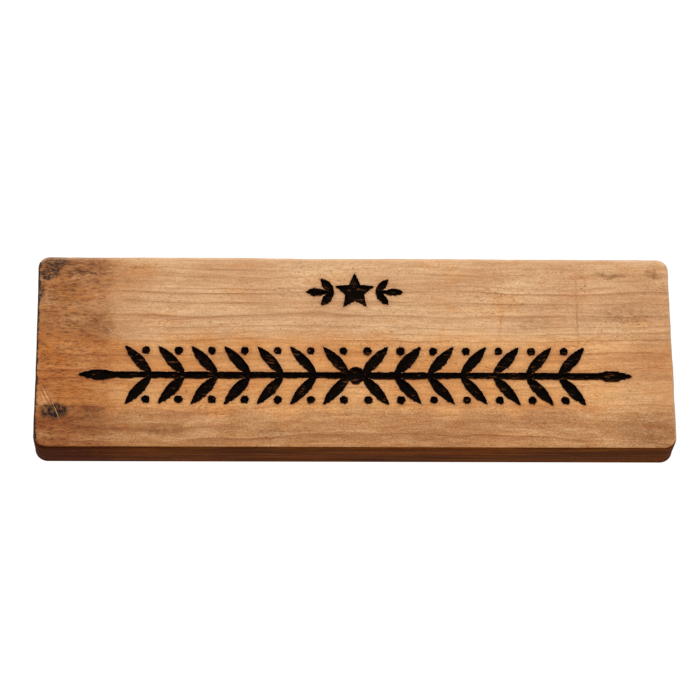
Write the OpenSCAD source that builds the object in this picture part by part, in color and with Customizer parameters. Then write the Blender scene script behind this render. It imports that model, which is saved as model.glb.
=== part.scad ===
// Wall plaque: a worn softwood board with a burned carving, hung by two ring hangers.
// +X runs along the board, +Z is up and the carved face looks towards -Y.
// The origin is on the wall, straight behind the middle of the board.

/* [Board] */
// Length of the board along the wall
board_w = 300; // [250:1:420]
// Height of the board
board_h = 97; // [80:1:150]
// Thickness of the board
board_t = 20; // [15:0.5:32]
// Radius of the two upper corners, seen from the front
top_corner_r = 6; // [4:0.5:14]
// Radius of the two lower corners, which are worn rounder
bottom_corner_r = 6.5; // [4:0.5:14]
// Radius worn on every arris
arris_r = 2.5; // [0.5:0.25:3.5]

/* [Carving] */
// Depth of the carving below the face
carve_depth = 1.2; // [0.4:0.1:2.5]
// Plain wood left between each end of the board and the garland
garland_inset = 21; // [15:0.5:40]
// Height of the garland's stem above the board's lower edge
garland_rise = 36.5; // [20:0.5:45]
// Length of a garland leaf
leaf_len = 18.5; // [12:0.5:19]
// Width of a garland leaf
leaf_w = 4.2; // [3:0.1:7]
// Angle between a leaf and its stem
leaf_angle = 49; // [30:1:55]
// Distance between leaf pairs, which is rounded to fill the stem
leaf_pitch = 16; // [9:0.5:18]
// Width of the garland's stem
stem_w = 2.2; // [1:0.1:4]
// Radius of the berries
berry_r = 1.5; // [0.8:0.1:2]
// Radius of the round eye in the middle of the garland
eye_r = 3.8; // [2:0.1:5]

/* [Star] */
// Depth of the star's centre below the board's upper edge
star_drop = 18.5; // [14:0.5:24]
// Radius of the star's points
star_r = 9; // [5:0.25:12]
// Radius of the star's inner corners
star_inner_r = 4.1; // [2:0.1:5]
// Width of the star and its two sprigs together
star_row_w = 45; // [40:0.5:60]
// Plain wood between the star's points and the sprigs
star_gap = 1.2; // [0.5:0.1:3]
// Length of a sprig leaf
sprig_leaf_len = 8.2; // [5:0.2:9]
// Width of a sprig leaf
sprig_leaf_w = 3; // [1.5:0.1:4]
// Width of a sprig's stem
sprig_stem_w = 1.2; // [0.6:0.1:2]

/* [Hanger strap] */
// Distance of each hanger from the nearer end of the board
hanger_inset = 45; // [25:1:80]
// Distance of the ring's pivot below the board's upper edge
pivot_drop = 22; // [14:0.5:40]
// Width of the strap
strap_w = 10; // [6:0.5:14]
// Thickness of the strap's sheet metal, which is folded double
sheet_t = 0.8; // [0.5:0.1:1]
// Space between the hanging ring and the head of the screw below it
screw_gap = 1.1; // [0.5:0.1:5]
// Metal left beyond the screw's centre
strap_end = 5; // [4:0.5:8]

/* [Hanging ring] */
// Radius of the ring's wire
wire_r = 1; // [0.8:0.05:1.2]
// Space between each side of the strap and the ring's wire
ring_side_gap = 1; // [0.5:0.1:2]
// Length of the ring's two straight legs
leg_len = 3; // [2:0.25:4]
// Radial clearance of the ring's wire in the strap's barrel
pivot_clear = 0.05; // [0.02:0.01:0.1]
// Angle at which the ring hangs clear of its strap
ring_lift = 8; // [7:0.5:14]

/* [Hanger screw] */
// Length of the screw under its head
screw_len = 12; // [9:0.5:13]
// Radius of the screw's core, which is also the radius of its pilot hole
core_r = 1.05; // [0.8:0.05:1.2]
// Radius over the screw's thread
thread_r = 1.5; // [1.3:0.05:1.6]
// Distance between turns of the thread
thread_pitch = 1.25; // [1:0.05:1.6]
// Radius of the screw's head
head_r = 2.9; // [2.5:0.1:3.3]
// Height of the screw's head
head_h = 1.9; // [1.2:0.1:2]
// Radial clearance of the screw in the strap
screw_clear = 0.25; // [0.1:0.05:0.5]

/* [Bumpers] */
// Radius of each bumper
bumper_r = 5; // [3:0.25:8]
// Least space between the hangers and the wall, which the bumpers keep
wall_gap = 0.7; // [0.3:0.1:3]
// Distance of each bumper's centre from the board's edges
bumper_inset = 14; // [12:0.5:30]
// Bevel round each bumper's wall side
bumper_bevel = 0.6; // [0.2:0.1:1.2]

/* [Hidden] */
$fn = 96;

barrel_r = wire_r + pivot_clear;
barrel_outer_r = barrel_r + sheet_t;
strap_t = 2 * sheet_t;
bow_r = strap_w / 2 + ring_side_gap + wire_r;
bow_reach = leg_len + bow_r;
screw_drop = bow_reach + wire_r + screw_gap + head_r;

// Bumpers come in half-millimetre steps and outreach the ring, the barrel and the screw.
hanger_h = max(barrel_outer_r + bow_reach * sin(ring_lift) + wire_r,
    2 * barrel_outer_r, strap_t + head_h);
bumper_t = ceil(2 * (hanger_h + wall_gap)) / 2;

back_y = -bumper_t;
front_y = back_y - board_t;
top_z = board_h / 2;
garland_z = garland_rise - top_z;
star_z = top_z - star_drop;
pivot_x = board_w / 2 - hanger_inset;
pivot_y = back_y + barrel_outer_r;
pivot_z = top_z - pivot_drop;
screw_z = pivot_z - screw_drop;

pilot_depth = screw_len - strap_t + 0.6;
tip_len = 2.5;
thread_count = floor((screw_len - strap_t - tip_len) / thread_pitch);
cross_w = 0.8;
cross_len = 3.6;
cross_depth = 1.1;

// ---- shared shapes ----

// A rectangle whose four corners are rounded.
module round_rect(w, h, r) {
    square([w - 2 * r, h], center = true);
    square([w, h - 2 * r], center = true);
    for (x = [-1, 1], y = [-1, 1])
        translate([x * (w / 2 - r), y * (h / 2 - r)]) circle(r);
}

// Turns a drawing seen from the front into a solid between two depths.
module from_front(y_near, y_far) {
    translate([0, y_far, 0]) rotate([90, 0, 0]) linear_extrude(y_far - y_near) children();
}

// ---- board ----

// One corner of the board, worn on both arrises and centred on its own axis.
module corner_post(r) {
    rotate([90, 0, 0]) rotate_extrude(angle = 90) intersection() {
        round_rect(2 * r, board_t, arris_r);
        translate([0, -board_t]) square([r + 1, 2 * board_t]);
    }
}

// The upper half of the board with corners of radius r, from its middle upwards.
module half_board(r) {
    straight_w = board_w - 2 * r;
    straight_h = board_h / 2 - r;
    linear_extrude(straight_h) round_rect(board_w, board_t, arris_r);
    intersection() {
        translate([-straight_w / 2, 0, 0]) rotate([90, 0, 90])
            linear_extrude(straight_w) round_rect(board_t, board_h, arris_r);
        translate([-board_w / 2, -board_t, 0]) cube([board_w, 2 * board_t, board_h]);
    }
    for (side = [0, 1]) mirror([side, 0, 0])
        translate([straight_w / 2, 0, straight_h]) corner_post(r);
}

module board_blank() {
    translate([0, (front_y + back_y) / 2, 0]) {
        half_board(top_corner_r);
        mirror([0, 0, 1]) half_board(bottom_corner_r);
    }
}

// A pointed leaf from the origin along +X, bounded by two arcs.
module leaf(len, wid) {
    arc_r = (len * len + wid * wid) / (4 * wid);
    translate([len / 2, 0]) intersection() {
        translate([0, arc_r - wid / 2]) circle(arc_r);
        translate([0, wid / 2 - arc_r]) circle(arc_r);
    }
}

// A stem along +X from first_x to tip_x, with leaf pairs and an end leaf.
module sprig(first_x, tip_x, len, wid, pitch, stem) {
    span = tip_x - len - first_x;
    pairs = max(1, round(span / pitch));
    translate([first_x, -stem / 2]) square([span + len / 4, stem]);
    for (i = [0 : pairs - 1], side = [-1, 1])
        translate([first_x + i * span / pairs, 0]) rotate(side * leaf_angle) leaf(len, wid);
    translate([tip_x - len, 0]) leaf(len, wid);
}

// Berries beside the stem, each halfway between two leaves and level with their tips.
module berries(first_x, tip_x) {
    span = tip_x - leaf_len - first_x;
    pairs = max(1, round(span / leaf_pitch));
    step = span / pairs;
    level = leaf_len * sin(leaf_angle) - 1.2 * berry_r;
    for (i = [0 : pairs - 1], side = [-1, 1])
        translate([first_x + (i - 0.5) * step + level / tan(leaf_angle), side * level])
            circle(berry_r);
}

module garland() {
    half_w = board_w / 2 - garland_inset;
    circle(eye_r);
    for (side = [0, 1]) mirror([side, 0]) {
        sprig(eye_r - 1, half_w, leaf_len, leaf_w, leaf_pitch, stem_w);
        berries(eye_r - 1, half_w);
    }
}

module star() {
    polygon([for (i = [0 : 9])
        let (r = i % 2 == 0 ? star_r : star_inner_r) [r * sin(36 * i), r * cos(36 * i)]]);
    for (side = [0, 1]) mirror([side, 0])
        sprig(star_r + star_gap, star_row_w / 2, sprig_leaf_len, sprig_leaf_w,
            sprig_leaf_len, sprig_stem_w);
}

module board() {
    color("#c2925c") difference() {
        board_blank();
        from_front(front_y - 1, front_y + carve_depth) {
            translate([0, garland_z]) garland();
            translate([0, star_z]) star();
        }
        for (side = [-1, 1])
            translate([side * pivot_x, 0, screw_z])
                from_front(back_y - pilot_depth, back_y + 1) circle(core_r);
    }
}

// ---- hangers ----

// Doubled sheet-metal strap with the barrel that holds the ring.
module hanger_strap(side) {
    color("#b9bcc0") translate([side * pivot_x, 0, 0]) difference() {
        union() {
            from_front(back_y, back_y + strap_t) {
                translate([-strap_w / 2, screw_z]) square([strap_w, screw_drop]);
                translate([0, screw_z]) intersection() {
                    circle(norm([strap_w / 2, strap_end - 1]));
                    translate([-strap_w / 2, -strap_end]) square([strap_w, strap_end]);
                }
            }
            translate([-strap_w / 2, pivot_y, pivot_z]) rotate([0, 90, 0])
                cylinder(h = strap_w, r = barrel_outer_r);
        }
        translate([-strap_w / 2 - 1, pivot_y, pivot_z]) rotate([0, 90, 0])
            cylinder(h = strap_w + 2, r = barrel_r);
        translate([0, 0, screw_z])
            from_front(back_y - 1, back_y + strap_t + 1) circle(thread_r + screw_clear);
    }
}

// Wire ring: a straight bar in the barrel, two legs and a half-round bow.
module hanging_ring(side) {
    color("#d0d3d6") translate([side * pivot_x, pivot_y, pivot_z]) rotate([ring_lift, 0, 0]) {
        translate([-bow_r, 0, 0]) rotate([0, 90, 0]) cylinder(h = 2 * bow_r, r = wire_r);
        for (x = [-bow_r, bow_r]) translate([x, 0, 0]) {
            sphere(wire_r);
            translate([0, 0, -leg_len]) cylinder(h = leg_len, r = wire_r);
        }
        translate([0, 0, -leg_len]) rotate([-90, 0, 0])
            rotate_extrude(angle = 180) translate([bow_r, 0]) circle(wire_r);
    }
}

// Pan-head wood screw, drawn along +Z with the underside of its head at the origin.
module wood_screw() {
    body_len = screw_len - tip_len;
    difference() {
        rotate_extrude() {
            intersection() {
                translate([0, head_h - 1.9 * head_r]) circle(1.9 * head_r);
                square([head_r, head_h]);
            }
            translate([0, -body_len]) square([core_r, body_len]);
            polygon([[0, -screw_len], [core_r, -body_len], [0, -body_len]]);
            translate([0, -strap_t]) square([thread_r, strap_t]);
            for (i = [0 : thread_count - 1])
                translate([0, -strap_t - (i + 1) * thread_pitch])
                    polygon([[0, 0], [core_r - 0.1, 0], [thread_r, thread_pitch / 4],
                        [core_r - 0.1, thread_pitch / 2], [0, thread_pitch / 2]]);
        }
        for (turn = [0, 90]) rotate(turn)
            translate([-cross_len / 2, -cross_w / 2, head_h - cross_depth])
                cube([cross_len, cross_w, cross_depth + 1]);
    }
}

module hanger_screw(side) {
    color("#c9ccd0") translate([side * pivot_x, back_y + strap_t, screw_z])
        rotate([-90, 0, 0]) wood_screw();
}

// ---- bumpers ----

// Round rubber pad between the board's back and the wall.
module bumper(side, level) {
    color("#2c2c2e")
        translate([side * (board_w / 2 - bumper_inset), back_y, level * (top_z - bumper_inset)])
            rotate([-90, 0, 0]) rotate_extrude()
                polygon([[0, 0], [bumper_r, 0], [bumper_r, bumper_t - bumper_bevel],
                    [bumper_r - bumper_bevel, bumper_t], [0, bumper_t]]);
}

board();
hanger_strap(-1);  // left_hanger_strap
hanger_strap(1);  // right_hanger_strap
hanging_ring(-1);  // left_hanging_ring
hanging_ring(1);  // right_hanging_ring
hanger_screw(-1);  // left_hanger_screw
hanger_screw(1);  // right_hanger_screw
bumper(-1, 1);  // top_left_bumper
bumper(1, 1);  // top_right_bumper
bumper(-1, -1);  // bottom_left_bumper
bumper(1, -1);  // bottom_right_bumper
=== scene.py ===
import math

import bpy
from mathutils import Matrix, Vector
from mathutils.kdtree import KDTree


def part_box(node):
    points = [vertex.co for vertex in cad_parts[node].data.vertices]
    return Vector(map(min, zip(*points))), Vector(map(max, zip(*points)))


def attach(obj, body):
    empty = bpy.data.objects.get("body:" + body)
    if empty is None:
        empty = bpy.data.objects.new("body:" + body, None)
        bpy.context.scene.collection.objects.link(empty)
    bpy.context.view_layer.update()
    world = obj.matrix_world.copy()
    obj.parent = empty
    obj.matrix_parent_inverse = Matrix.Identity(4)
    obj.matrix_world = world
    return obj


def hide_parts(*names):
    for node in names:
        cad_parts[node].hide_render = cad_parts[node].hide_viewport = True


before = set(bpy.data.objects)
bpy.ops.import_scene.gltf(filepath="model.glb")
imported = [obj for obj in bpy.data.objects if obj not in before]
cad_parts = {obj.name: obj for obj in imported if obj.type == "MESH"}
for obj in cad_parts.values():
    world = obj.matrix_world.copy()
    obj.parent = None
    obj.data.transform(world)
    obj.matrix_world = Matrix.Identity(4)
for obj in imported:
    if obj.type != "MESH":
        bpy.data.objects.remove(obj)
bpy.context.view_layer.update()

# Wall plaque of worn softwood with a burned carving, hung by two ring hangers.
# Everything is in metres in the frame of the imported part; mm turns millimetres into metres.

mm = 0.001
boardLow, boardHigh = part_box("board")
boardMiddle = (boardLow + boardHigh) / 2
boardSize = boardHigh - boardLow
frontY = boardLow.y
backY = boardHigh.y


# Small helpers for modelling in edit mode

def useOnly(piece):
    if bpy.context.object and bpy.context.object.mode != "OBJECT":
        bpy.ops.object.mode_set(mode="OBJECT")
    bpy.ops.object.select_all(action="DESELECT")
    piece.select_set(True)
    bpy.context.view_layer.objects.active = piece


def freshPiece(name):
    piece = bpy.context.object
    piece.name = name
    piece.data.name = name
    return piece


def settle(piece):
    useOnly(piece)
    bpy.ops.object.transform_apply(location=True, rotation=True, scale=True)


def openForEdit(piece, kind):
    useOnly(piece)
    bpy.ops.object.mode_set(mode="EDIT")
    bpy.ops.mesh.select_mode(type=kind)
    bpy.ops.mesh.select_all(action="DESELECT")


def pickFaces(piece, test):
    openForEdit(piece, "FACE")
    bpy.ops.object.mode_set(mode="OBJECT")
    for face in piece.data.polygons:
        face.select = test(face)
    bpy.ops.object.mode_set(mode="EDIT")


def pickEdges(piece, test):
    openForEdit(piece, "EDGE")
    bpy.ops.object.mode_set(mode="OBJECT")
    points = piece.data.vertices
    for edge in piece.data.edges:
        first, second = (points[i].co for i in edge.vertices)
        edge.select = test(first, second)
    bpy.ops.object.mode_set(mode="EDIT")


def leaveEdit():
    bpy.ops.object.mode_set(mode="OBJECT")


def finishWith(piece, kind, **settings):
    useOnly(piece)
    modifier = piece.modifiers.new(kind.title(), kind)
    for key, value in settings.items():
        setattr(modifier, key, value)
    bpy.ops.object.modifier_apply(modifier=modifier.name)


def cutAcross(axis, place):
    # cuts whatever is selected in edit mode with a plane across one axis
    normal = Vector((axis == 0, axis == 1, axis == 2))
    bpy.ops.mesh.bisect(plane_co=normal * place, plane_no=normal)


def steps(low, high, step):
    count = max(1, round((high - low) / step))
    return [low + (high - low) * i / count for i in range(1, count)]


def cloudTexture(name, size, depth=2):
    texture = bpy.data.textures.new(name, "CLOUDS")
    texture.noise_scale = size
    texture.noise_depth = depth
    return texture


# Board blank: a cube with rounded corners, uneven arrises and a slightly hollow, bowed skin

board = {
    "topCorner": 6 * mm,
    "bottomCorner": 6.5 * mm,
    "arris": 3.4 * mm,      # the widest wear, on the upper arrises
    "sideWear": 0.6,        # share of it on the ends
    "lowerWear": 0.45,      # share of it along the bottom
    "gridX": 3 * mm,
    "gridZ": 2.6 * mm,
    "bow": 0.7 * mm,        # how far the skin wanders inwards
    "dents": 0.35 * mm,     # small knocks on the arrises and edges
    "pilot": 1.05 * mm,
    "pilotDepth": 11 * mm,
}

print("board: blank")
bpy.ops.object.select_all(action="DESELECT")
bpy.ops.mesh.primitive_cube_add(size=1, location=boardMiddle, scale=boardSize)
plaque = freshPiece("wooden_board")
settle(plaque)


def runsAcross(first, second, upper):
    along = (second - first).normalized()
    return abs(along.y) > 0.99 and (first.z > 0) == upper


for upper, radius in ((True, board["topCorner"]), (False, board["bottomCorner"])):
    pickEdges(plaque, lambda a, b, u=upper: runsAcross(a, b, u))
    bpy.ops.mesh.bevel(offset=radius, segments=10, profile=0.5, affect="EDGES", clamp_overlap=False)
    leaveEdit()

wear = plaque.data.attributes.new("bevel_weight_edge", "FLOAT", "EDGE")
for edge in plaque.data.edges:
    first, second = (plaque.data.vertices[i].co for i in edge.vertices)
    if abs(first.y - second.y) > 1e-6:
        continue
    along = (second - first).normalized()
    level = 1.0 if first.z + second.z > 0 else board["lowerWear"]
    share = along.x ** 2
    wear.data[edge.index].value = share * level + (1 - share) * board["sideWear"]
finishWith(plaque, "BEVEL", limit_method="WEIGHT", width=board["arris"], segments=5, use_clamp_overlap=False)

print("board: grid")
openForEdit(plaque, "FACE")
for axis, step in ((0, board["gridX"]), (2, board["gridZ"])):
    for place in steps(boardLow[axis], boardHigh[axis], step):
        bpy.ops.mesh.select_all(action="SELECT")
        cutAcross(axis, place)
leaveEdit()


# Carving: cutters modelled flat on the face, sunk in steps, then taken out of the board

carving = {
    "inset": 21 * mm,
    "rise": 36.5 * mm,
    "leafLength": 18.5 * mm,
    "leafWidth": 4.2 * mm,
    "leafAngle": 49,
    "leafPitch": 16 * mm,
    "stemWidth": 2.2 * mm,
    "berry": 1.5 * mm,
    "eye": 3.8 * mm,
    "depth": 1.15 * mm,
    "flare": 0.22 * mm,     # the burned lip spreads this far round each cut
    "grid": 0.8 * mm,       # size of the floor's facets
}
star = {
    "drop": 18.5 * mm,
    "radius": 9 * mm,
    "innerRadius": 4.1 * mm,
    "rowWidth": 45 * mm,
    "gap": 1.2 * mm,
    "leafLength": 8.2 * mm,
    "leafWidth": 3 * mm,
    "stemWidth": 1.2 * mm,
}
garlandZ = boardLow.z + carving["rise"]
starZ = boardHigh.z - star["drop"]
proud = 1.2 * mm            # how far a cutter stands out of the face


def sink(piece, length, width, middleX):
    # turns a flat outline in front of the face into a cutter with a flared lip and a gridded floor
    profile = [
        (proud, carving["flare"]),
        (0.3 * mm, 0.35 * carving["flare"]),
        (0.35 * mm, 0),
        (carving["depth"] - 0.65 * mm, -0.12 * mm),
    ]
    openForEdit(piece, "FACE")
    bpy.ops.mesh.select_all(action="SELECT")
    last = carving["flare"]
    for deeper, spread in profile:
        bpy.ops.mesh.extrude_region_move(TRANSFORM_OT_translate={"value": (0, deeper, 0)})
        grow = ((length + 2 * spread) / (length + 2 * last), 1, (width + 2 * spread) / (width + 2 * last))
        bpy.ops.transform.resize(value=grow, center_override=(middleX, 0, 0))
        last = spread
    leaveEdit()
    floorY = max(v.co.y for v in piece.data.vertices)
    pickFaces(piece, lambda f: abs(f.center.y - floorY) < 1e-6)
    lowX, highX = middleX - length / 2, middleX + length / 2
    for axis, low, high in ((0, lowX, highX), (2, -width / 2, width / 2)):
        for place in steps(low, high, carving["grid"]):
            pickFaces(piece, lambda f: abs(f.center.y - floorY) < 1e-6)
            cutAcross(axis, place)
    bpy.ops.mesh.select_all(action="SELECT")
    bpy.ops.mesh.normals_make_consistent(inside=False)
    leaveEdit()
    return piece


def flatDisc(name, points, radius):
    bpy.ops.object.select_all(action="DESELECT")
    bpy.ops.mesh.primitive_circle_add(
        vertices=points, radius=radius, fill_type="NGON",
        location=(0, frontY - proud, 0), rotation=(math.radians(90), 0, 0))
    piece = freshPiece(name)
    settle(piece)
    return piece


def leafCutter(name, length, width):
    wide, tall = length + 2 * carving["flare"], width + 2 * carving["flare"]
    arc = (wide ** 2 + tall ** 2) / (4 * tall)
    piece = flatDisc(name, 44, 1)
    for vertex in piece.data.vertices:
        turn = math.atan2(vertex.co.z, vertex.co.x)
        x = wide / 2 * math.cos(turn)
        rise = math.sqrt(arc ** 2 - x ** 2) - (arc - tall / 2)
        vertex.co.x = length / 2 + x
        vertex.co.z = math.copysign(max(rise, 0), math.sin(turn)) if abs(math.cos(turn)) < 0.9999 else 0
    return sink(piece, length, width, length / 2)


def discCutter(name, radius):
    return sink(flatDisc(name, 28, radius + carving["flare"]), 2 * radius, 2 * radius, 0)


def starCutter(name):
    piece = flatDisc(name, 10, 1)
    for vertex in piece.data.vertices:
        turn = round(math.degrees(math.atan2(vertex.co.x, vertex.co.z)) / 36) * 36
        radius = star["radius"] if (turn / 36) % 2 == 0 else star["innerRadius"]
        radius += carving["flare"] * 1.4
        vertex.co.x = radius * math.sin(math.radians(turn))
        vertex.co.z = radius * math.cos(math.radians(turn))
    openForEdit(piece, "EDGE")
    bpy.ops.mesh.select_all(action="SELECT")
    bpy.ops.mesh.subdivide(number_cuts=5)
    leaveEdit()
    return sink(piece, 2 * star["radius"], 2 * star["radius"], 0)


def stemCutter(name, firstX, lastX, width):
    spread = 2 * carving["flare"]
    bpy.ops.object.select_all(action="DESELECT")
    place = ((firstX + lastX) / 2, frontY - proud, 0)
    bpy.ops.mesh.primitive_plane_add(size=1, location=place, rotation=(math.radians(90), 0, 0))
    piece = freshPiece(name)
    settle(piece)
    openForEdit(piece, "EDGE")
    bpy.ops.mesh.select_all(action="SELECT")
    bpy.ops.transform.resize(value=(lastX - firstX + spread, 1, width + spread), center_override=place)
    leaveEdit()
    pickEdges(piece, lambda a, b: abs(a.z - b.z) < 1e-6)
    bpy.ops.mesh.subdivide(number_cuts=round((lastX - firstX) / (1.5 * mm)))
    leaveEdit()
    return sink(piece, lastX - firstX, width, (firstX + lastX) / 2)


def copyAt(model, x, z, turn=0):
    piece = model.copy()
    piece.data = model.data.copy()
    bpy.context.scene.collection.objects.link(piece)
    piece.data.transform(Matrix.Translation((x, 0, z)) @ Matrix.Rotation(-math.radians(turn), 4, "Y"))
    return piece


print("carving: cutters")
cutters = {"stems": [], "upper": [], "lower": [], "middle": []}


def placeSprig(leaf, stem, berry, firstX, tipX, length, pitch, z):
    span = tipX - length - firstX
    pairs = max(1, round(span / pitch))
    step = span / pairs
    angle = carving["leafAngle"]
    level = length * math.sin(math.radians(angle)) - 1.2 * carving["berry"]
    for side in (1, -1):
        spin = 0 if side == 1 else 180
        cutters["stems"].append(copyAt(stem, 0, z, spin))
        cutters["upper"].append(copyAt(leaf, side * (tipX - length), z, spin))
        for i in range(pairs):
            x = firstX + i * step
            cutters["upper"].append(copyAt(leaf, side * x, z, 90 - side * (90 - angle)))
            cutters["lower"].append(copyAt(leaf, side * x, z, -90 + side * (90 - angle)))
            if berry:
                berryX = side * (x - step / 2 + level / math.tan(math.radians(angle)))
                for up in (1, -1):
                    cutters["stems"].append(copyAt(berry, berryX, z + up * level))


leafLength = carving["leafLength"]
garlandTip = boardSize.x / 2 - carving["inset"]
garlandStart = carving["eye"] - 1 * mm
bigLeaf = leafCutter("big_leaf", leafLength, carving["leafWidth"])
bigStem = stemCutter("big_stem", garlandStart, garlandTip - leafLength * 3 / 4, carving["stemWidth"])
berry = discCutter("berry", carving["berry"])
placeSprig(bigLeaf, bigStem, berry, garlandStart, garlandTip, leafLength, carving["leafPitch"], garlandZ)

sprigStart = star["radius"] + star["gap"]
sprigTip = star["rowWidth"] / 2
leafLength = star["leafLength"]
smallLeaf = leafCutter("small_leaf", leafLength, star["leafWidth"])
smallStem = stemCutter("small_stem", sprigStart, sprigTip - leafLength * 3 / 4, star["stemWidth"])
placeSprig(smallLeaf, smallStem, None, sprigStart, sprigTip, leafLength, leafLength, starZ)

eye = discCutter("eye", carving["eye"])
starShape = starCutter("star")
cutters["middle"].append(copyAt(eye, 0, garlandZ))
cutters["stems"].append(copyAt(starShape, 0, starZ))
for model in (bigLeaf, bigStem, berry, smallLeaf, smallStem, eye, starShape):
    bpy.data.objects.remove(model)


def joinAll(pieces, name):
    useOnly(pieces[0])
    for piece in pieces:
        piece.select_set(True)
    if len(pieces) > 1:
        bpy.ops.object.join()
    return freshPiece(name)


def inCarvedZone(point):
    nearGarland = abs(point.z - garlandZ) < 18 * mm and abs(point.x) < garlandTip + 5 * mm
    nearStar = abs(point.z - starZ) < 13 * mm and abs(point.x) < sprigTip + 5 * mm
    return point.y < frontY + 0.1 * mm and (nearGarland or nearStar)


print("carving: cuts")
pickFaces(plaque, lambda f: inCarvedZone(f.center))
bpy.ops.mesh.subdivide(number_cuts=2)
leaveEdit()

charFloor = cloudTexture("char_floor", 1.6 * mm)
charEdge = cloudTexture("char_edge", 1.1 * mm)
outline = []
burned = bpy.data.materials.new("burned_wood")
wood = bpy.data.materials.new("oiled_softwood")
plaque.data.materials.append(wood)
for group in cutters:
    cutter = joinAll(cutters[group], "cutter_" + group)
    outline += [v.co.copy() for v in cutter.data.vertices if abs(v.co.y - frontY) < 0.05 * mm]
    cutter.data.materials.clear()
    cutter.data.materials.append(burned)
    deep = frontY + carving["depth"] - 0.1 * mm
    floorPoints = [v.index for v in cutter.data.vertices if v.co.y > deep]
    wallPoints = [v.index for v in cutter.data.vertices if v.co.y <= deep]
    cutter.vertex_groups.new(name="floor").add(floorPoints, 1, "REPLACE")
    cutter.vertex_groups.new(name="wall").add(wallPoints, 1, "REPLACE")
    finishWith(cutter, "DISPLACE", texture=charFloor, texture_coords="GLOBAL", direction="Y",
               strength=0.7 * mm, mid_level=0.62, vertex_group="floor")
    finishWith(cutter, "DISPLACE", texture=charEdge, texture_coords="GLOBAL", direction="NORMAL",
               strength=0.18 * mm, mid_level=0.5, vertex_group="wall")
    finishWith(plaque, "BOOLEAN", operation="DIFFERENCE", object=cutter, solver="MANIFOLD",
               material_mode="TRANSFER")
    bpy.data.objects.remove(cutter)
    print("carving:", group, "taken out,", len(plaque.data.polygons), "faces")


# Pilot holes for the hanger screws, then the slight hollows of a hand planed face

def drillAlongY(piece, at, radius, depth, count):
    bpy.ops.object.select_all(action="DESELECT")
    bpy.ops.mesh.primitive_cylinder_add(
        vertices=count, radius=radius, depth=depth, location=at, rotation=(math.radians(90), 0, 0))
    drill = freshPiece("drill")
    settle(drill)
    finishWith(piece, "BOOLEAN", operation="DIFFERENCE", object=drill, solver="MANIFOLD")
    bpy.data.objects.remove(drill)


print("board: pilot holes and wear")
for name in ("left_hanger_screw", "right_hanger_screw"):
    low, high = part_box(name)
    at = ((low.x + high.x) / 2, backY, (low.z + high.z) / 2)
    drillAlongY(plaque, at, board["pilot"], 2 * board["pilotDepth"], 20)
planed = [v.index for v in plaque.data.vertices if v.co.y < backY - 1 * mm]
worn = [v.index for v in plaque.data.vertices if frontY + 0.4 * mm < v.co.y < backY - 1 * mm]
plaque.vertex_groups.new(name="planed").add(planed, 1, "REPLACE")
plaque.vertex_groups.new(name="worn").add(worn, 1, "REPLACE")
finishWith(plaque, "DISPLACE", texture=cloudTexture("skin", 45 * mm), texture_coords="GLOBAL",
           direction="NORMAL", strength=board["bow"], mid_level=1, vertex_group="planed")
finishWith(plaque, "DISPLACE", texture=cloudTexture("dents", 5 * mm), texture_coords="GLOBAL",
           direction="NORMAL", strength=board["dents"], mid_level=1, vertex_group="worn")
plaque.vertex_groups.clear()
for vertex in plaque.data.vertices:
    vertex.co.y = max(vertex.co.y, frontY)

# how near each point of the face lies to the carving, for the scorch round it
near = KDTree(len(outline))
for i, point in enumerate(outline):
    near.insert((point.x, 0, point.z), i)
near.balance()
scorch = plaque.data.attributes.new("scorch", "FLOAT", "POINT")
facing = plaque.data.attributes.new("facing", "FLOAT_VECTOR", "POINT")
for vertex in plaque.data.vertices:
    gap = near.find((vertex.co.x, 0, vertex.co.z))[2]
    onFace = 1 if vertex.co.y < frontY + 3 * mm else 0
    scorch.data[vertex.index].value = onFace * math.exp(-gap / (1.5 * mm))
    facing.data[vertex.index].vector = vertex.normal

useOnly(plaque)
bpy.ops.object.shade_smooth_by_angle(angle=math.radians(35))


# Node helpers: sockets may be given numbers, colours or another node's output

def tone(red, green, blue):
    # a paint colour in everyday 0 to 255 values
    linear = [((v / 255 + 0.055) / 1.055) ** 2.4 if v > 10 else v / 255 / 12.92 for v in (red, green, blue)]
    return (*linear, 1)


def put(tree, kind, sockets=(), **settings):
    made = tree.nodes.new("ShaderNode" + kind)
    for key, value in settings.items():
        setattr(made, key, value)
    for key, value in dict(sockets).items():
        if isinstance(value, bpy.types.NodeSocket):
            tree.links.new(value, made.inputs[key])
        else:
            made.inputs[key].default_value = value
    return made


def calc(tree, operation, *values):
    return put(tree, "Math", enumerate(values), operation=operation).outputs[0]


def times(tree, first, *others):
    for value in others:
        first = calc(tree, "MULTIPLY", first, value)
    return first


def total(tree, first, *others):
    for value in others:
        first = calc(tree, "ADD", first, value)
    return first


def shift(tree, operation, first, second):
    return put(tree, "VectorMath", {0: first, 1: second}, operation=operation).outputs[0]


def noise(tree, where, size, detail=2.0, rough=0.5, part=0):
    sockets = {"Vector": where, "Scale": 1 / size, "Detail": detail, "Roughness": rough}
    return put(tree, "TexNoise", sockets, noise_dimensions="3D").outputs[part]


def fade(tree, value, low, high, lowOut=0.0, highOut=1.0):
    sockets = {"Value": value, "From Min": low, "From Max": high, "To Min": lowOut, "To Max": highOut}
    return put(tree, "MapRange", sockets, interpolation_type="SMOOTHSTEP").outputs[0]


def mix(tree, share, first, second, how="MIX"):
    sockets = {0: share, 6: first, 7: second}
    return put(tree, "Mix", sockets, data_type="RGBA", blend_type=how).outputs[2]


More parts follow.
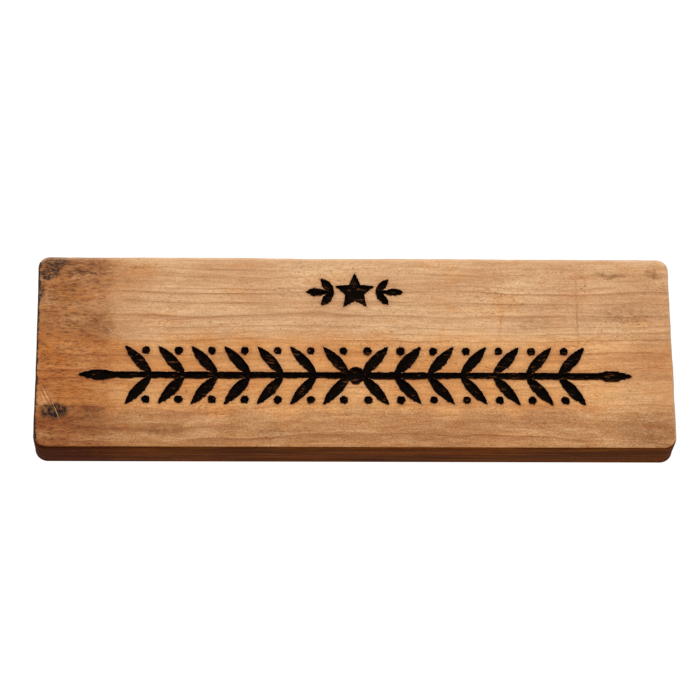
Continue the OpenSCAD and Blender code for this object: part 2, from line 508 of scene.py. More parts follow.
def ramp(tree, value, stops):
    made = put(tree, "ValToRGB", {0: value})
    marks = made.color_ramp.elements
    while len(marks) < len(stops):
        marks.new(0.5)
    for mark, (place, colour) in zip(marks, stops):
        mark.position = place
        mark.color = colour if isinstance(colour, tuple) else (colour, colour, colour, 1)
    return made.outputs[0]


def millimetres(tree):
    where = put(tree, "TexCoord").outputs["Object"]
    return put(tree, "VectorMath", {0: where, "Scale": 1000}, operation="SCALE").outputs[0]


def squeeze(tree, where, x, y, z):
    return shift(tree, "MULTIPLY", where, (x, y, z))


def fibre(tree, where, share, size, detail=2.0, rough=0.5):
    # noise drawn out along the board: the smaller the share, the longer the fibres
    return noise(tree, squeeze(tree, where, share, 1, 1), size, detail, rough)


def wander(tree, where, size, amount):
    # moves a pattern about by up to half of amount
    pull = shift(tree, "SUBTRACT", noise(tree, where, size, part=1), (0.5, 0.5, 0.5))
    return shift(tree, "ADD", where, squeeze(tree, pull, amount, amount, amount))


def spot(tree, where, middle, radii, softness=0.5):
    # 1 inside an ellipse on the face, fading to 0 outside it
    offset = shift(tree, "SUBTRACT", where, (middle[0], 0, middle[1]))
    offset = squeeze(tree, offset, 1 / radii[0], 0, 1 / radii[1])
    length = put(tree, "VectorMath", {0: offset}, operation="LENGTH").outputs["Value"]
    return fade(tree, length, 1 - softness, 1 + softness, 1, 0)


# Oiled softwood: growth rings round a pith outside the board, fibres along X, stains and wear, and painted
# highlight and shade on the edges

woodLook = {
    "pith": (0, 62, -78),
    "ringWidth": 3.7,
    "season": [                           # how dark one ring is, from spring to winter
        (0.0, 0.15), (0.07, 0.0), (0.55, 0.04), (0.84, 0.5), (0.92, 1.0), (0.97, 0.8), (1.0, 0.15)],
    "light": tone(219, 178, 136),
    "middle": tone(203, 156, 114),
    "lateWood": tone(158, 97, 46),
    "grainDark": (0.76, 0.66, 0.5, 1),
    "grainLight": (1.15, 1.17, 1.2, 1),
    "blotch": (0.97, 0.76, 0.5, 1),       # tints multiply the wood under them
    "band": (1.08, 0.87, 0.55, 1),
    "low": (0.77, 0.64, 0.49, 1),
    "left": (0.69, 0.48, 0.26, 1),
    "dirt": (0.42, 0.36, 0.3, 1),
    # painted highlight tone for the top and right arrises
    "worn": tone(214, 174, 136),
    "speck": tone(112, 62, 26),
    "scorch": tone(120, 56, 16),
    # underside tone: a darker stain together with painted shade
    "under": (0.225, 0.118, 0.026, 1),
    "endGrain": (0.62, 0.5, 0.38, 1),
    # dark grime for the stains, also used as painted shade along the left arris
    "grimeAndShade": tone(24, 15, 9),
    "brownStain": (0.52, 0.42, 0.31, 1),
    "paleStain": (1.22, 1.26, 1.34, 1),
    "rustStain": (0.92, 0.66, 0.38, 1),
    "knot": tone(30, 26, 26),
    "scratch": tone(214, 166, 118),
    "backTone": tone(176, 134, 94),
}
# stains on the face, in mm from its middle: tone, middle x and z, half width, half height, strength
woodStains = [
    ("grimeAndShade", -141, 44.6, 5.5, 3.4, 1.0), ("grimeAndShade", -144.5, 38.6, 4.5, 2.8, 1.0),
    ("brownStain", -130, 43.5, 14, 4.6, 0.75), ("grimeAndShade", -128, 39.2, 13, 0.9, 0.5),
    ("grimeAndShade", -147.5, 31, 1.8, 4, 0.7), ("brownStain", -121, 11, 7, 7, 0.6),
    ("brownStain", -133, 33, 12, 3, 0.45),
    ("brownStain", -123, -31, 6, 3.8, 0.6), ("brownStain", -90, -39.5, 9, 3.2, 0.65),
    ("brownStain", -40, -40, 8, 1.8, 0.5), ("paleStain", -70, -34, 9, 3, 0.5),
    ("brownStain", 122, 39, 7, 1.5, 0.75), ("brownStain", 142, 39, 5, 1.4, 0.85),
    ("brownStain", 126, 19, 11, 5, 0.5), ("grimeAndShade", 136, -39, 13, 8, 0.22),
    ("brownStain", 84, 13.5, 9, 3, 0.35), ("rustStain", 68.6, 17.5, 0.8, 10, 0.5),
    ("brownStain", 105, 22, 0.6, 19, 0.35), ("rustStain", -120, 33, 22, 10, 0.4),
]


woodLow, woodHigh, garlandHeight = boardLow / mm, boardHigh / mm, garlandZ / mm


def boardPlaces(tree):
    # sockets that say where a point of the board is, in mm, and which way it faces
    where = millimetres(tree)
    normal = put(tree, "Attribute", attribute_name="facing").outputs["Vector"]
    soft = wander(tree, wander(tree, where, 16, 12), 3, 2.5)
    at = {"where": where}
    at.update(zip(("x", "y", "z"), put(tree, "SeparateXYZ", {0: where}).outputs))
    at.update(zip(("turnX", "turnY", "turnZ"), put(tree, "SeparateXYZ", {0: normal}).outputs))
    at.update(zip(("softX", "softY", "softZ"), put(tree, "SeparateXYZ", {0: soft}).outputs))
    at["behind"] = fade(tree, at["turnY"], 0.3, 0.8)
    at["shown"] = calc(tree, "SUBTRACT", 1, at["behind"])
    at["nearFace"] = fade(tree, at["y"], woodLow.y + 4, woodLow.y + 9, 1, 0)
    at["cloud"] = fibre(tree, where, 0.45, 20, 3)
    at["streak"] = fade(tree, fibre(tree, where, 0.22, 3.4, 4), 0.3, 0.65, 0.45, 1.15)
    return at


def growthRings(tree, where, bent):
    # late wood lines on rings round the pith, each of its own strength
    around = shift(tree, "SUBTRACT", bent, woodLook["pith"])
    reach = put(tree, "VectorMath", {0: squeeze(tree, around, 0, 1, 1)}, operation="LENGTH").outputs["Value"]
    reach = calc(tree, "DIVIDE", reach, woodLook["ringWidth"])
    uneven = put(tree, "TexNoise", {"W": reach, "Scale": 0.45}, noise_dimensions="1D").outputs[0]
    reach = total(tree, reach, times(tree, uneven, 1.6))
    line = ramp(tree, calc(tree, "FRACT", reach), woodLook["season"])
    year = put(tree, "TexWhiteNoise", {"W": calc(tree, "FLOOR", reach)}, noise_dimensions="1D").outputs[0]
    patchy = fade(tree, fibre(tree, where, 0.3, 14, 3), 0.3, 0.62, 0.15, 1)
    return times(tree, line, total(tree, times(tree, year, 0.7), 0.45), patchy)


def bareWood(tree, at):
    # the planed wood's own colour, its long fibres and the height of its grain
    look, where = woodLook, at["where"]
    bent = wander(tree, squeeze(tree, where, 0.3, 1, 1), 34, 8)
    bent = wander(tree, squeeze(tree, bent, 1.6, 1, 1), 10, 1.5)
    line = growthRings(tree, where, bent)
    longFibre = fibre(tree, bent, 0.1, 1.3, 3)
    shortFibre = fibre(tree, where, 0.14, 0.7, 3, 0.6)
    sand = fibre(tree, where, 0.6, 0.55, 2, 0.6)
    colour = mix(tree, fade(tree, at["cloud"], 0.3, 0.7), look["middle"], look["light"])
    colour = mix(tree, times(tree, line, 0.75), colour, look["lateWood"])
    crisp = fade(tree, at["z"], garlandHeight - 22, garlandHeight - 10, 1, 0.62)
    for pattern, depth in ((longFibre, 0.5), (shortFibre, times(tree, crisp, 0.65)), (sand, crisp)):
        level = mix(tree, fade(tree, pattern, 0.27, 0.73), look["grainDark"], look["grainLight"])
        colour = mix(tree, depth, colour, level, "MULTIPLY")
    crowd = fade(tree, fibre(tree, where, 0.5, 10, 3), 0.42, 0.66)
    speck = fade(tree, fibre(tree, where, 0.45, 0.8, 3, 0.65), 0.56, 0.7)
    colour = mix(tree, times(tree, speck, fade(tree, crowd, 0, 1, 0.22, 0.7)), colour, look["speck"])
    relief = total(
        tree, times(tree, longFibre, 0.5), times(tree, shortFibre, 0.6), times(tree, sand, 0.5),
        times(tree, line, 0.4))
    return colour, longFibre, relief


def zoneTints(tree, at, colour):
    # blotches, a warm band round the garland, a darker foot and darker ends
    look, where, shown, softX, softZ = woodLook, at["where"], at["shown"], at["softX"], at["softZ"]
    blotch = fade(tree, fibre(tree, where, 0.45, 9, 4, 0.6), 0.5, 0.68)
    colour = mix(tree, times(tree, blotch, 0.45), colour, look["blotch"], "MULTIPLY")
    band = times(
        tree, shown,
        fade(tree, softZ, garlandHeight - 21, garlandHeight - 15),
        fade(tree, softZ, garlandHeight + 14, garlandHeight + 23, 1, 0),
        fade(tree, softX, woodHigh.x - 45, woodHigh.x - 15, 1, 0.4),
        fade(tree, at["cloud"], 0.3, 0.7, 1, 0.6))
    colour = mix(tree, band, colour, look["band"], "MULTIPLY")
    foot = times(tree, shown, fade(tree, softZ, garlandHeight - 22, garlandHeight - 14, 1, 0))
    colour = mix(tree, times(tree, foot, at["streak"]), colour, look["low"], "MULTIPLY")

    broad = fade(tree, softX, woodLow.x + 6, woodLow.x + 62, 1, 0)
    narrow = fade(tree, softX, woodLow.x + 32, woodLow.x + 41, 1, 0)
    left = times(tree, shown, total(tree, times(tree, broad, 0.67), times(tree, narrow, 0.3)))
    patches = fade(tree, fibre(tree, where, 0.35, 7, 5, 0.65), 0.3, 0.62, 0.5, 1.15)
    colour = mix(tree, times(tree, left, patches), colour, look["left"], "MULTIPLY")
    dirt = fade(tree, fibre(tree, where, 0.22, 0.75, 4, 0.7), 0.47, 0.64)
    colour = mix(tree, times(tree, left, dirt), colour, look["dirt"], "MULTIPLY")
    footLeft = times(
        tree, foot, at["streak"], 0.7,
        fade(tree, softX, woodLow.x + 30, woodLow.x + 95, 1, 0),
        fade(tree, at["z"], woodLow.z + 6, woodLow.z + 12, 0.3, 1))
    colour = mix(tree, footLeft, colour, look["low"], "MULTIPLY")
    right = times(tree, shown, 0.3, fade(tree, softX, woodHigh.x - 34, woodHigh.x - 8))
    return mix(tree, right, colour, look["low"], "MULTIPLY")


def scorchRim(tree, at, colour):
    rim = put(tree, "Attribute", attribute_name="scorch").outputs["Fac"]
    uneven = fade(tree, noise(tree, at["where"], 2.2), 0.25, 0.7, 0.5, 1)
    return mix(tree, times(tree, rim, rim, uneven, 0.8), colour, woodLook["scorch"])


def stainMarks(tree, at, colour):
    # stains torn along the grain and crossed by darker veins, only on the face and its edges
    where = at["where"]
    straight = wander(tree, where, 4, 1.2)
    torn = wander(tree, wander(tree, where, 7, 6), 1.6, 1.8)
    vein = calc(tree, "SUBTRACT", fibre(tree, torn, 0.55, 3.2, 4, 0.6), 0.5)
    vein = fade(tree, calc(tree, "ABSOLUTE", vein), 0.0, 0.05, 1.5, 0.75)
    broken = fade(tree, fibre(tree, where, 0.45, 1.5, 3, 0.7), 0.32, 0.54)
    broken = times(tree, broken, vein, at["nearFace"])
    for name, middleX, middleZ, wide, tall, share in woodStains:
        mark = spot(tree, torn if wide > 1 else straight, (middleX, middleZ), (wide, tall), 0.5)
        how = "MIX" if name == "grimeAndShade" else "MULTIPLY"
        colour = mix(tree, times(tree, mark, broken, share), colour, woodLook[name], how)
    return colour


def deadKnot(tree, at, colour):
    # a dark dead knot with slanting sanding scratches across it
    look, where = woodLook, at["where"]
    frayed = wander(tree, wander(tree, where, 5, 3), 1.2, 1.2)
    knot = spot(tree, frayed, (woodLow.x + 9.6, woodLow.z + 18.5), (6.8, 3.8), 0.3)
    crumbs = fade(tree, noise(tree, where, 1.6, 3, 0.7), 0.35, 0.58, 0.55, 1)
    knot = times(tree, knot, crumbs, at["nearFace"])
    colour = mix(tree, knot, colour, look["knot"])
    centre = Vector((woodLow.x + 7, 0, woodLow.z + 22))
    slant = put(tree, "VectorRotate", {
        "Vector": where, "Center": centre, "Axis": (0, 1, 0), "Angle": math.radians(-65)}).outputs[0]
    scratches = fade(tree, noise(tree, squeeze(tree, slant, 0.035, 0, 1), 0.55, 1), 0.55, 0.66)
    scratches = times(tree, scratches, at["nearFace"], spot(tree, slant, (centre.x, centre.z), (9, 3.6), 0.3))
    return mix(tree, times(tree, scratches, 0.75), colour, look["scratch"]), knot, scratches


def edgeTones(tree, at, colour):
    # painted highlight on the top and right arrises, thirsty end grain, a darker stain with painted shade on
    # the underside, painted shade along the left arris
    look, where, turnX, turnY, turnZ = woodLook, at["where"], at["turnX"], at["turnY"], at["turnZ"]
    forward = fade(tree, turnY, -0.25, -0.5)
    # painted highlight: front arris faces turned up or to the right are lightened, in patches
    litSide = calc(tree, "MAXIMUM", fade(tree, turnZ, 0.04, 0.4), fade(tree, turnX, 0.2, 0.6))
    highlightPatches = fade(tree, fibre(tree, where, 0.3, 3, 3), 0.3, 0.6, 0.3, 1)
    colour = mix(tree, times(tree, litSide, forward, highlightPatches, 0.3), colour, look["worn"])
    # painted highlight along the top arris, weaker towards the left end
    topHighlight = times(
        tree, forward,
        fade(tree, at["z"], woodHigh.z - 5.5, woodHigh.z - 2.2),
        fade(tree, at["x"], woodLow.x + 12, woodLow.x + 60, 0.25, 1),
        fade(tree, at["streak"], 0.4, 1.1, 0.0, 0.25))
    colour = mix(tree, topHighlight, colour, look["worn"])
    ends = fade(tree, calc(tree, "ABSOLUTE", turnX), 0.8, 0.98)
    colour = mix(tree, ends, colour, look["endGrain"], "MULTIPLY")
    # painted shade over a darker stain: faces turned down are darkened to the underside tone
    under = fade(tree, turnZ, -0.12, -0.5)
    lines = fade(tree, fibre(tree, where, 0.03, 2.2, 3, 0.6), 0.35, 0.65, 0.55, 1.4)
    colour = mix(tree, times(tree, under, 0.9), colour, lines, "MULTIPLY")
    colour = mix(tree, under, colour, look["under"], "MULTIPLY")
    # painted shade: a dark ragged line down the left front arris
    ragged = total(tree, at["x"], times(tree, noise(tree, where, 2.2, 3), 3.2))
    leftEnd = fade(tree, ragged, woodLow.x + 2.9, woodLow.x + 3.6, 1, 0)
    leftArrisShade = times(tree, leftEnd, fade(tree, turnY, -0.03, -0.12), 0.9)
    return mix(tree, leftArrisShade, colour, look["grimeAndShade"]), under


def sawnBack(tree, at, colour):
    # the back is dusty, with faint upright blade marks
    blade = noise(tree, squeeze(tree, wander(tree, at["where"], 60, 6), 1, 0, 0.04), 1.5, 2, 0.7)
    dust = fade(tree, fibre(tree, at["where"], 0.5, 24, 4, 0.6), 0.3, 0.7, 0.35, 0.75)
    colour = mix(tree, times(tree, at["behind"], dust), colour, woodLook["backTone"])
    colour = mix(tree, at["behind"], colour, fade(tree, blade, 0.3, 0.7, 0.94, 1.04), "MULTIPLY")
    return colour, times(tree, blade, at["behind"], 2.0)


def paintWood():
    wood.use_nodes = True
    tree = wood.node_tree
    shader = tree.nodes["Principled BSDF"]
    at = boardPlaces(tree)
    colour, longFibre, relief = bareWood(tree, at)
    colour = zoneTints(tree, at, colour)
    colour = scorchRim(tree, at, colour)
    colour = stainMarks(tree, at, colour)
    colour, knot, scratches = deadKnot(tree, at, colour)
    colour, under = edgeTones(tree, at, colour)
    colour, sawMarks = sawnBack(tree, at, colour)
    tree.links.new(colour, shader.inputs["Base Color"])

    dull = times(tree, calc(tree, "MAXIMUM", at["behind"], under), 0.2)
    rough = total(tree, fade(tree, longFibre, 0.3, 0.7, 0.52, 0.66), dull)
    tree.links.new(rough, shader.inputs["Roughness"])
    gloss = fade(tree, calc(tree, "MAXIMUM", under, knot), 0, 1, 0.22, 0.04)
    tree.links.new(gloss, shader.inputs["Specular IOR Level"])
    height = calc(tree, "SUBTRACT", total(tree, relief, sawMarks), times(tree, scratches, 0.6))
    bump = put(tree, "Bump", {"Strength": 0.4, "Distance": 0.00025, "Height": height}).outputs[0]
    tree.links.new(bump, shader.inputs["Normal"])


# Burned wood: matt char with brown flecks where the grain shows through

burnedLook = {
    "char": tone(5, 3, 2),
    "ash": tone(24, 15, 10),
    "fleck": tone(118, 70, 36),
}


def paintBurned():
    look = burnedLook
    burned.use_nodes = True
    tree = burned.node_tree
    shader = tree.nodes["Principled BSDF"]
    where = millimetres(tree)
    crust = noise(tree, where, 0.9, 4, 0.7)
    streak = fibre(tree, where, 0.2, 0.8, 3, 0.6)
    colour = mix(tree, fade(tree, crust, 0.42, 0.7), look["char"], look["ash"])
    thin = times(tree, fade(tree, streak, 0.57, 0.68), fade(tree, noise(tree, where, 9), 0.4, 0.6), 0.65)
    colour = mix(tree, thin, colour, look["fleck"])
    tree.links.new(colour, shader.inputs["Base Color"])
    tree.links.new(fade(tree, crust, 0.3, 0.7, 0.62, 0.85), shader.inputs["Roughness"])
    shader.inputs["Specular IOR Level"].default_value = 0.02
    height = total(tree, crust, times(tree, streak, 0.7))
    bump = put(tree, "Bump", {"Strength": 0.6, "Distance": 0.0003, "Height": height}).outputs[0]
    tree.links.new(bump, shader.inputs["Normal"])


print("materials: wood")
paintWood()
paintBurned()
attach(plaque, "plaque")
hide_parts("board")


# Plated steel and rubber for the hangers, screws and bumpers

def paintSteel(name, bright, dull, rough):
    metal = bpy.data.materials.new(name)
    metal.use_nodes = True
    tree = metal.node_tree
    shader = tree.nodes["Principled BSDF"]
    where = millimetres(tree)
    cloudy = noise(tree, where, 3, 4, 0.65)
    brushed = noise(tree, squeeze(tree, where, 1, 1, 0.08), 0.18, 2)
    colour = mix(tree, fade(tree, cloudy, 0.35, 0.7), bright, dull)
    tree.links.new(colour, shader.inputs["Base Color"])
    shader.inputs["Metallic"].default_value = 1.0
    tree.links.new(fade(tree, cloudy, 0.3, 0.7, rough, rough + 0.16), shader.inputs["Roughness"])
    height = total(tree, brushed, times(tree, cloudy, 0.6))
    bump = put(tree, "Bump", {"Strength": 0.25, "Distance": 0.00005, "Height": height}).outputs[0]
    tree.links.new(bump, shader.inputs["Normal"])
    return metal


def paintRubber():
    rubber = bpy.data.materials.new("bumper_rubber")
    rubber.use_nodes = True
    tree = rubber.node_tree
    shader = tree.nodes["Principled BSDF"]
    where = millimetres(tree)
    grain = noise(tree, where, 0.25, 3, 0.6)
    dust = noise(tree, where, 2.2, 4, 0.6)
    colour = mix(tree, fade(tree, dust, 0.5, 0.75), tone(34, 34, 36), tone(66, 62, 58))
    tree.links.new(colour, shader.inputs["Base Color"])
    tree.links.new(fade(tree, dust, 0.3, 0.7, 0.6, 0.8), shader.inputs["Roughness"])
    bump = put(tree, "Bump", {"Strength": 0.3, "Distance": 0.00005, "Height": grain}).outputs[0]
    tree.links.new(bump, shader.inputs["Normal"])
    return rubber


zinc = paintSteel("zinc_plate", tone(196, 198, 202), tone(160, 163, 168), 0.32)
nickel = paintSteel("nickel_wire", tone(214, 214, 214), tone(182, 182, 184), 0.2)
screwZinc = paintSteel("screw_zinc", tone(204, 205, 208), tone(170, 172, 176), 0.28)
rubber = paintRubber()


def place(piece, name, body, slot, material):
    # names a finished piece and hands it over to the frame
    piece.name = name + "_seen"
    piece.data.name = piece.name
    piece.data.materials.clear()
    piece.data.materials.append(material)
    openForEdit(piece, "VERT")
    bpy.ops.mesh.select_all(action="SELECT")
    bpy.ops.mesh.remove_doubles(threshold=1e-6)
    bpy.ops.mesh.normals_make_consistent(inside=False)
    leaveEdit()
    useOnly(piece)
    bpy.ops.object.shade_smooth_by_angle(angle=math.radians(35))
    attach(piece, body)
    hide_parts(name)


def push(x=0, y=0, z=0):
    bpy.ops.mesh.extrude_region_move(TRANSFORM_OT_translate={"value": (x, y, z)})


def sweep(angle, count, middle, axis=(1, 0, 0)):
    bpy.ops.mesh.spin(steps=count, angle=-math.radians(angle), center=middle, axis=axis)


def startPoint(name, at):
    # a single vertex to draw a profile from
    bpy.ops.object.select_all(action="DESELECT")
    bpy.ops.mesh.primitive_plane_add(size=mm, location=at)
    piece = freshPiece(name)
    settle(piece)
    openForEdit(piece, "VERT")
    bpy.ops.mesh.select_all(action="SELECT")
    bpy.ops.mesh.merge(type="CENTER")
    return piece


def turned(name, at, profile, count):
    # lathe work: profile gives radius and height, the axis runs along Y through at
    first = profile[0]
    piece = startPoint(name, at + Vector((first[0], first[1], 0)))
    for before, after in zip(profile, profile[1:]):
        value = (after[0] - before[0], after[1] - before[1], 0)
        bpy.ops.mesh.extrude_vertices_move(TRANSFORM_OT_translate={"value": value})
    bpy.ops.mesh.select_all(action="SELECT")
    sweep(360, count, at, (0, 1, 0))
    bpy.ops.mesh.select_all(action="SELECT")
    bpy.ops.mesh.remove_doubles(threshold=1e-6)
    bpy.ops.mesh.normals_make_consistent(inside=False)
    leaveEdit()
    return piece


# Hanger strap: one strip of sheet folded round the ring's bar, both layers drilled for the screw

hanger = {
    "pivotInset": 1.85 * mm,    # from the strap's top and wall side to the ring's bar
    "sheet": 0.8 * mm,
    "barrel": 1.45 * mm,        # middle of the sheet round the bar
    "holeRise": 5 * mm,
    "holeRadius": 1.75 * mm,
    "endCorner": 3.2 * mm,
    "edge": 0.13 * mm,
}


def barMiddle(word):
    low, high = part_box(word + "_hanger_strap")
    inset = hanger["pivotInset"]
    return Vector(((low.x + high.x) / 2, high.y - inset, high.z - inset))


def foldedStrap(word):
    low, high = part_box(word + "_hanger_strap")
    pivot, sheet = barMiddle(word), hanger["sheet"]
    middle = pivot.x
    start = Vector((middle, low.y + sheet / 2, low.z))
    bpy.ops.object.select_all(action="DESELECT")
    bpy.ops.mesh.primitive_plane_add(size=1, location=start)
    strap = freshPiece("strap")
    settle(strap)
    openForEdit(strap, "FACE")
    bpy.ops.mesh.select_all(action="SELECT")
    bpy.ops.transform.resize(value=(high.x - low.x, sheet, 1), center_override=start)
    push(z=pivot.z - low.z)
    sweep(-240, 36, pivot)
    bend = (1.5 * sheet - (pivot.y - low.y) - hanger["barrel"] * 0.5) / -0.5
    leave = pivot + Vector((0, 0.5 * hanger["barrel"], -0.866 * hanger["barrel"]))
    centre = leave + Vector((0, 0.5 * bend, -0.866 * bend))
    sweep(60, 12, centre)
    push(z=low.z - centre.z)
    bpy.ops.mesh.select_all(action="SELECT")
    bpy.ops.mesh.normals_make_consistent(inside=False)
    leaveEdit()

    bpy.ops.object.select_all(action="DESELECT")
    bpy.ops.mesh.primitive_cube_add(size=1, location=(middle, pivot.y, (low.z + high.z) / 2 + 2 * mm),
                                    scale=(high.x - low.x + 0.1 * mm, 8 * mm, high.z - low.z + 4 * mm))
    block = freshPiece("block")
    settle(block)
    pickEdges(block, lambda a, b: abs(a.y - b.y) > 1 * mm and a.z < pivot.z - 5 * mm)
    bpy.ops.mesh.bevel(offset=hanger["endCorner"], segments=10, affect="EDGES")
    leaveEdit()
    finishWith(strap, "BOOLEAN", operation="INTERSECT", object=block, solver="MANIFOLD")
    bpy.data.objects.remove(block)
    at = (middle, low.y + sheet, low.z + hanger["holeRise"])
    drillAlongY(strap, at, hanger["holeRadius"], 8 * mm, 40)
    finishWith(strap, "BEVEL", limit_method="ANGLE", angle_limit=math.radians(40), width=hanger["edge"],
               segments=2, use_clamp_overlap=True)
    return strap


# Hanging ring: round wire bent to a D, its bar inside the strap's fold

ring = {
    "wire": 1 * mm,
    "bow": 7 * mm,
    "leg": 3 * mm,
    "bend": 1.5 * mm,
    "lift": 8,
}


def bentRing(word):
    pivot = barMiddle(word)
    bow, leg, bend = ring["bow"], ring["leg"], ring["bend"]
    bpy.ops.object.select_all(action="DESELECT")
    bpy.ops.mesh.primitive_circle_add(vertices=20, radius=ring["wire"], fill_type="NOTHING",
                                      location=pivot, rotation=(0, math.radians(90), 0))
    piece = freshPiece("ring")
    settle(piece)
    openForEdit(piece, "EDGE")
    bpy.ops.mesh.select_all(action="SELECT")
    across = (0, 1, 0)
    push(x=bow - bend)
    sweep(90, 8, pivot + Vector((bow - bend, 0, -bend)), across)
    push(z=bend - leg)
    sweep(180, 40, pivot + Vector((0, 0, -leg)), across)
    push(z=leg - bend)
    sweep(90, 8, pivot + Vector((bend - bow, 0, -bend)), across)
    push(x=bow - bend)
    bpy.ops.mesh.select_all(action="SELECT")
    bpy.ops.mesh.remove_doubles(threshold=1e-6)
    bpy.ops.transform.rotate(value=-math.radians(ring["lift"]), orient_axis="X", center_override=pivot)
    leaveEdit()
    return piece


# Hanger screw: domed head with a tapered cross recess, threaded body

screw = {
    "head": 2.9 * mm,
    "headHeight": 1.9 * mm,
    "dome": 5.51 * mm,
    "crossLength": 3.3 * mm,
    "crossWidth": 0.8 * mm,
    "crossDepth": 1.1 * mm,
    "crossTurn": 12,
    "core": 1.05 * mm,
    "thread": 1.5 * mm,
    "pitch": 1.25 * mm,
    "threads": 6,
    "length": 12 * mm,
}


def screwProfile():
    head, height, dome = screw["head"], screw["headHeight"], screw["dome"]
    profile = [(0, height)]
    for share in (0.2, 0.4, 0.6, 0.78, 0.92):
        reach = share * head
        profile.append((reach, height - dome + math.sqrt(dome ** 2 - reach ** 2)))
    brim = height - dome + math.sqrt(dome ** 2 - head ** 2)
    profile += [(head * 0.985, brim - 0.12 * mm), (head, brim - 0.35 * mm)]
    profile += [(head, 0.15 * mm), (head - 0.15 * mm, 0)]
    core, thread, pitch, depth = screw["core"], screw["thread"], screw["pitch"], -2 * hanger["sheet"]
    profile += [(thread, 0), (thread, depth), (core, depth)]
    for i in range(screw["threads"]):
        top = depth - (i + 0.5) * pitch
        profile += [(core, top), (thread, top - pitch * 0.25), (core, top - pitch * 0.5)]
    return profile + [(core * 0.9, profile[-1][1] - 0.3 * mm), (0, -screw["length"])]


def drivenScrew(word):
    low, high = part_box(word + "_hanger_screw")
    seat = Vector(((low.x + high.x) / 2, backY + 2 * hanger["sheet"], (low.z + high.z) / 2))
    piece = turned("screw", seat, screwProfile(), 40)
    for turn in (0, 90):
        bpy.ops.object.select_all(action="DESELECT")
        middle = seat + Vector((0, screw["headHeight"] - screw["crossDepth"] / 2 + 0.5 * mm, 0))
        bpy.ops.mesh.primitive_cube_add(size=1, location=middle, scale=(
            screw["crossLength"], screw["crossDepth"] + 1 * mm, screw["crossWidth"]))
        cross = freshPiece("cross")
        settle(cross)
        pickFaces(cross, lambda f: f.normal.y < -0.9)
        bpy.ops.transform.resize(value=(0.45, 1, 0.6), center_override=middle)
        bpy.ops.mesh.select_all(action="SELECT")
        angle = math.radians(turn + math.copysign(screw["crossTurn"], seat.x))
        bpy.ops.transform.rotate(value=angle, orient_axis="Y", center_override=middle)
        leaveEdit()
        finishWith(piece, "BOOLEAN", operation="DIFFERENCE", object=cross, solver="MANIFOLD")
        bpy.data.objects.remove(cross)
    return piece


# Bumper: a rubber pad with a rounded rim and a faint dish, on a sticky foil

bumper = {
    "radius": 5 * mm,
    "height": 5 * mm,
    "pad": 0.35 * mm,       # the sticky foil under the rubber
    "round": 0.7 * mm,
    "dish": 0.25 * mm,
}


def rubberPad(name):
    low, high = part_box(name)
    seat = Vector(((low.x + high.x) / 2, low.y, (low.z + high.z) / 2))
    radius, height, edge = bumper["radius"], bumper["height"], bumper["round"]
    profile = [(0, 0), (radius, 0), (radius, bumper["pad"]), (radius - 0.18 * mm, bumper["pad"] + 0.06 * mm)]
    wide = radius - 0.22 * mm
    for i in range(7):
        turn = math.radians(90 * i / 6)
        profile.append((wide - edge + edge * math.cos(turn), height - edge + edge * math.sin(turn)))
    rim, dished = wide - edge - 0.7 * mm, height - bumper["dish"]
    profile += [(rim, height), (rim - 0.5 * mm, dished), (0, dished)]
    return turned("pad", seat, profile, 56)


print("hardware: straps, rings, screws, bumpers")
for word in ("left", "right"):
    place(foldedStrap(word), word + "_hanger_strap", "plaque", "strap_steel", zinc)
    place(bentRing(word), word + "_hanging_ring", word + "_ring", "ring_steel", nickel)
    place(drivenScrew(word), word + "_hanger_screw", "plaque", "screw_steel", screwZinc)
    for level in ("top", "bottom"):
        name = level + "_" + word + "_bumper"
        place(rubberPad(name), name, "plaque", "bumper_rubber", rubber)


# Floor, light and camera

stageLook = {
    "floorDepth": 1.45,
    "floorSize": 120,
    "floorTone": (0.86, 0.86, 0.85, 1),
    "skyLight": 0.5,
    "keyPlace": (0.5, -1.5, 1.5),
    "keyPower": 25,
    "keySize": 1.3,
    "fillPlace": (-0.9, 1.6, 1.1),
    "fillPower": 14,
    "fillSize": 1.2,
    "sunPower": 0.9,
    "sunTilt": 12,
}

print("stage: floor and lights")
bpy.ops.object.select_all(action="DESELECT")
bpy.ops.mesh.primitive_plane_add(size=stageLook["floorSize"], location=(0, 0, -stageLook["floorDepth"]))
ground = freshPiece("ground")
pale = bpy.data.materials.new("pale_floor")
pale.use_nodes = True
floorTree = pale.node_tree
floorShader = floorTree.nodes["Principled BSDF"]
floorShader.inputs["Base Color"].default_value = stageLook["floorTone"]
floorShader.inputs["Roughness"].default_value = 0.9
# painted light: beyond 4 m the floor glows more and more, fully at 30 m, so it fades into the white sky at
# the horizon
floorShader.inputs["Emission Color"].default_value = (1, 1, 1, 1)
fromMiddle = put(floorTree, "TexCoord").outputs["Object"]
spread = put(floorTree, "VectorMath", {0: fromMiddle}, operation="LENGTH").outputs["Value"]
floorTree.links.new(fade(floorTree, spread, 4, 30), floorShader.inputs["Emission Strength"])
ground.data.materials.append(pale)

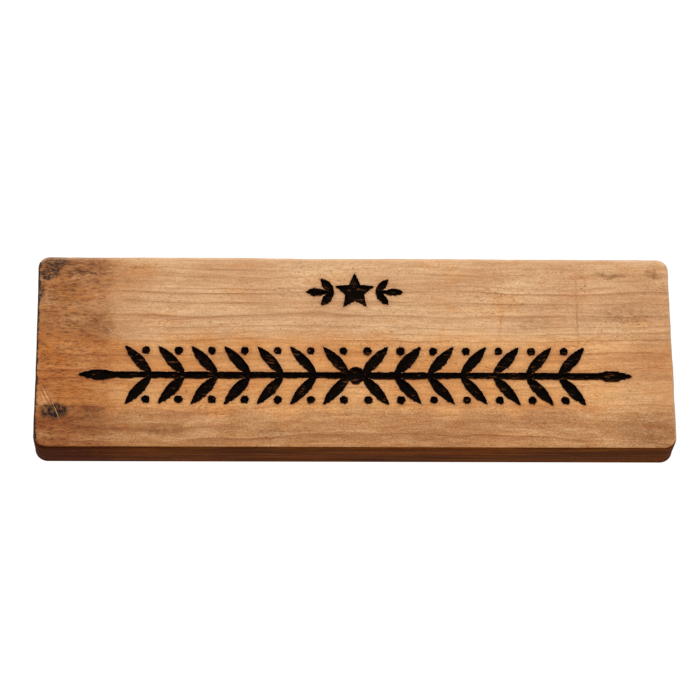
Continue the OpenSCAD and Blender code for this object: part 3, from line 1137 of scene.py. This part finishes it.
world = bpy.data.worlds.new("studio")
bpy.context.scene.world = world
world.use_nodes = True
sky = world.node_tree
sky.nodes["Background"].inputs["Color"].default_value = (1, 1, 1, 1)
seen = put(sky, "LightPath").outputs["Is Camera Ray"]
sky.links.new(fade(sky, seen, 0, 1, stageLook["skyLight"], 1.05), sky.nodes["Background"].inputs["Strength"])


def hang(name, source, at):
    holder = bpy.data.objects.new(name, source)
    bpy.context.scene.collection.objects.link(holder)
    holder.location = at
    return holder


def softbox(name, at, size, power):
    lamp = bpy.data.lights.new(name, "AREA")
    lamp.shape = "SQUARE"
    lamp.size = size
    lamp.energy = power
    aim = boardMiddle - Vector(at)
    hang(name, lamp, at).rotation_euler = aim.to_track_quat("-Z", "Y").to_euler()


softbox("key", stageLook["keyPlace"], stageLook["keySize"], stageLook["keyPower"])
softbox("back_fill", stageLook["fillPlace"], stageLook["fillSize"], stageLook["fillPower"])
sun = bpy.data.lights.new("top", "SUN")
sun.energy = stageLook["sunPower"]
sun.angle = math.radians(50)
hang("top", sun, (0, 0, 0)).rotation_euler = (math.radians(stageLook["sunTilt"]), 0, 0)

view = {
    "azimuth": -2.43,
    "elevation": -20.85,
    "roll": -0.63,
    "distance": 1.394,
    "aimRight": -2.15 * mm,
    "aimUp": 4.16 * mm,
    "lens": 151.9,
}

print("camera")
lens = bpy.data.cameras.new("camera")
lens.lens = view["lens"]
lens.sensor_width = 36
lens.clip_start = 0.01
lens.clip_end = 100
turn, climb = math.radians(view["azimuth"]), math.radians(view["elevation"])
back = Vector((math.sin(turn) * math.cos(climb), -math.cos(turn) * math.cos(climb), math.sin(climb)))
frontOn = (-back).to_track_quat("-Z", "Y").to_matrix()
aim = boardMiddle + frontOn @ Vector((view["aimRight"], view["aimUp"], 0))
camera = hang("camera", lens, aim + back * view["distance"])
camera.rotation_euler = (frontOn @ Matrix.Rotation(math.radians(view["roll"]), 3, "Z")).to_euler()
bpy.context.scene.camera = camera
bpy.context.scene.view_settings.view_transform = "Standard"
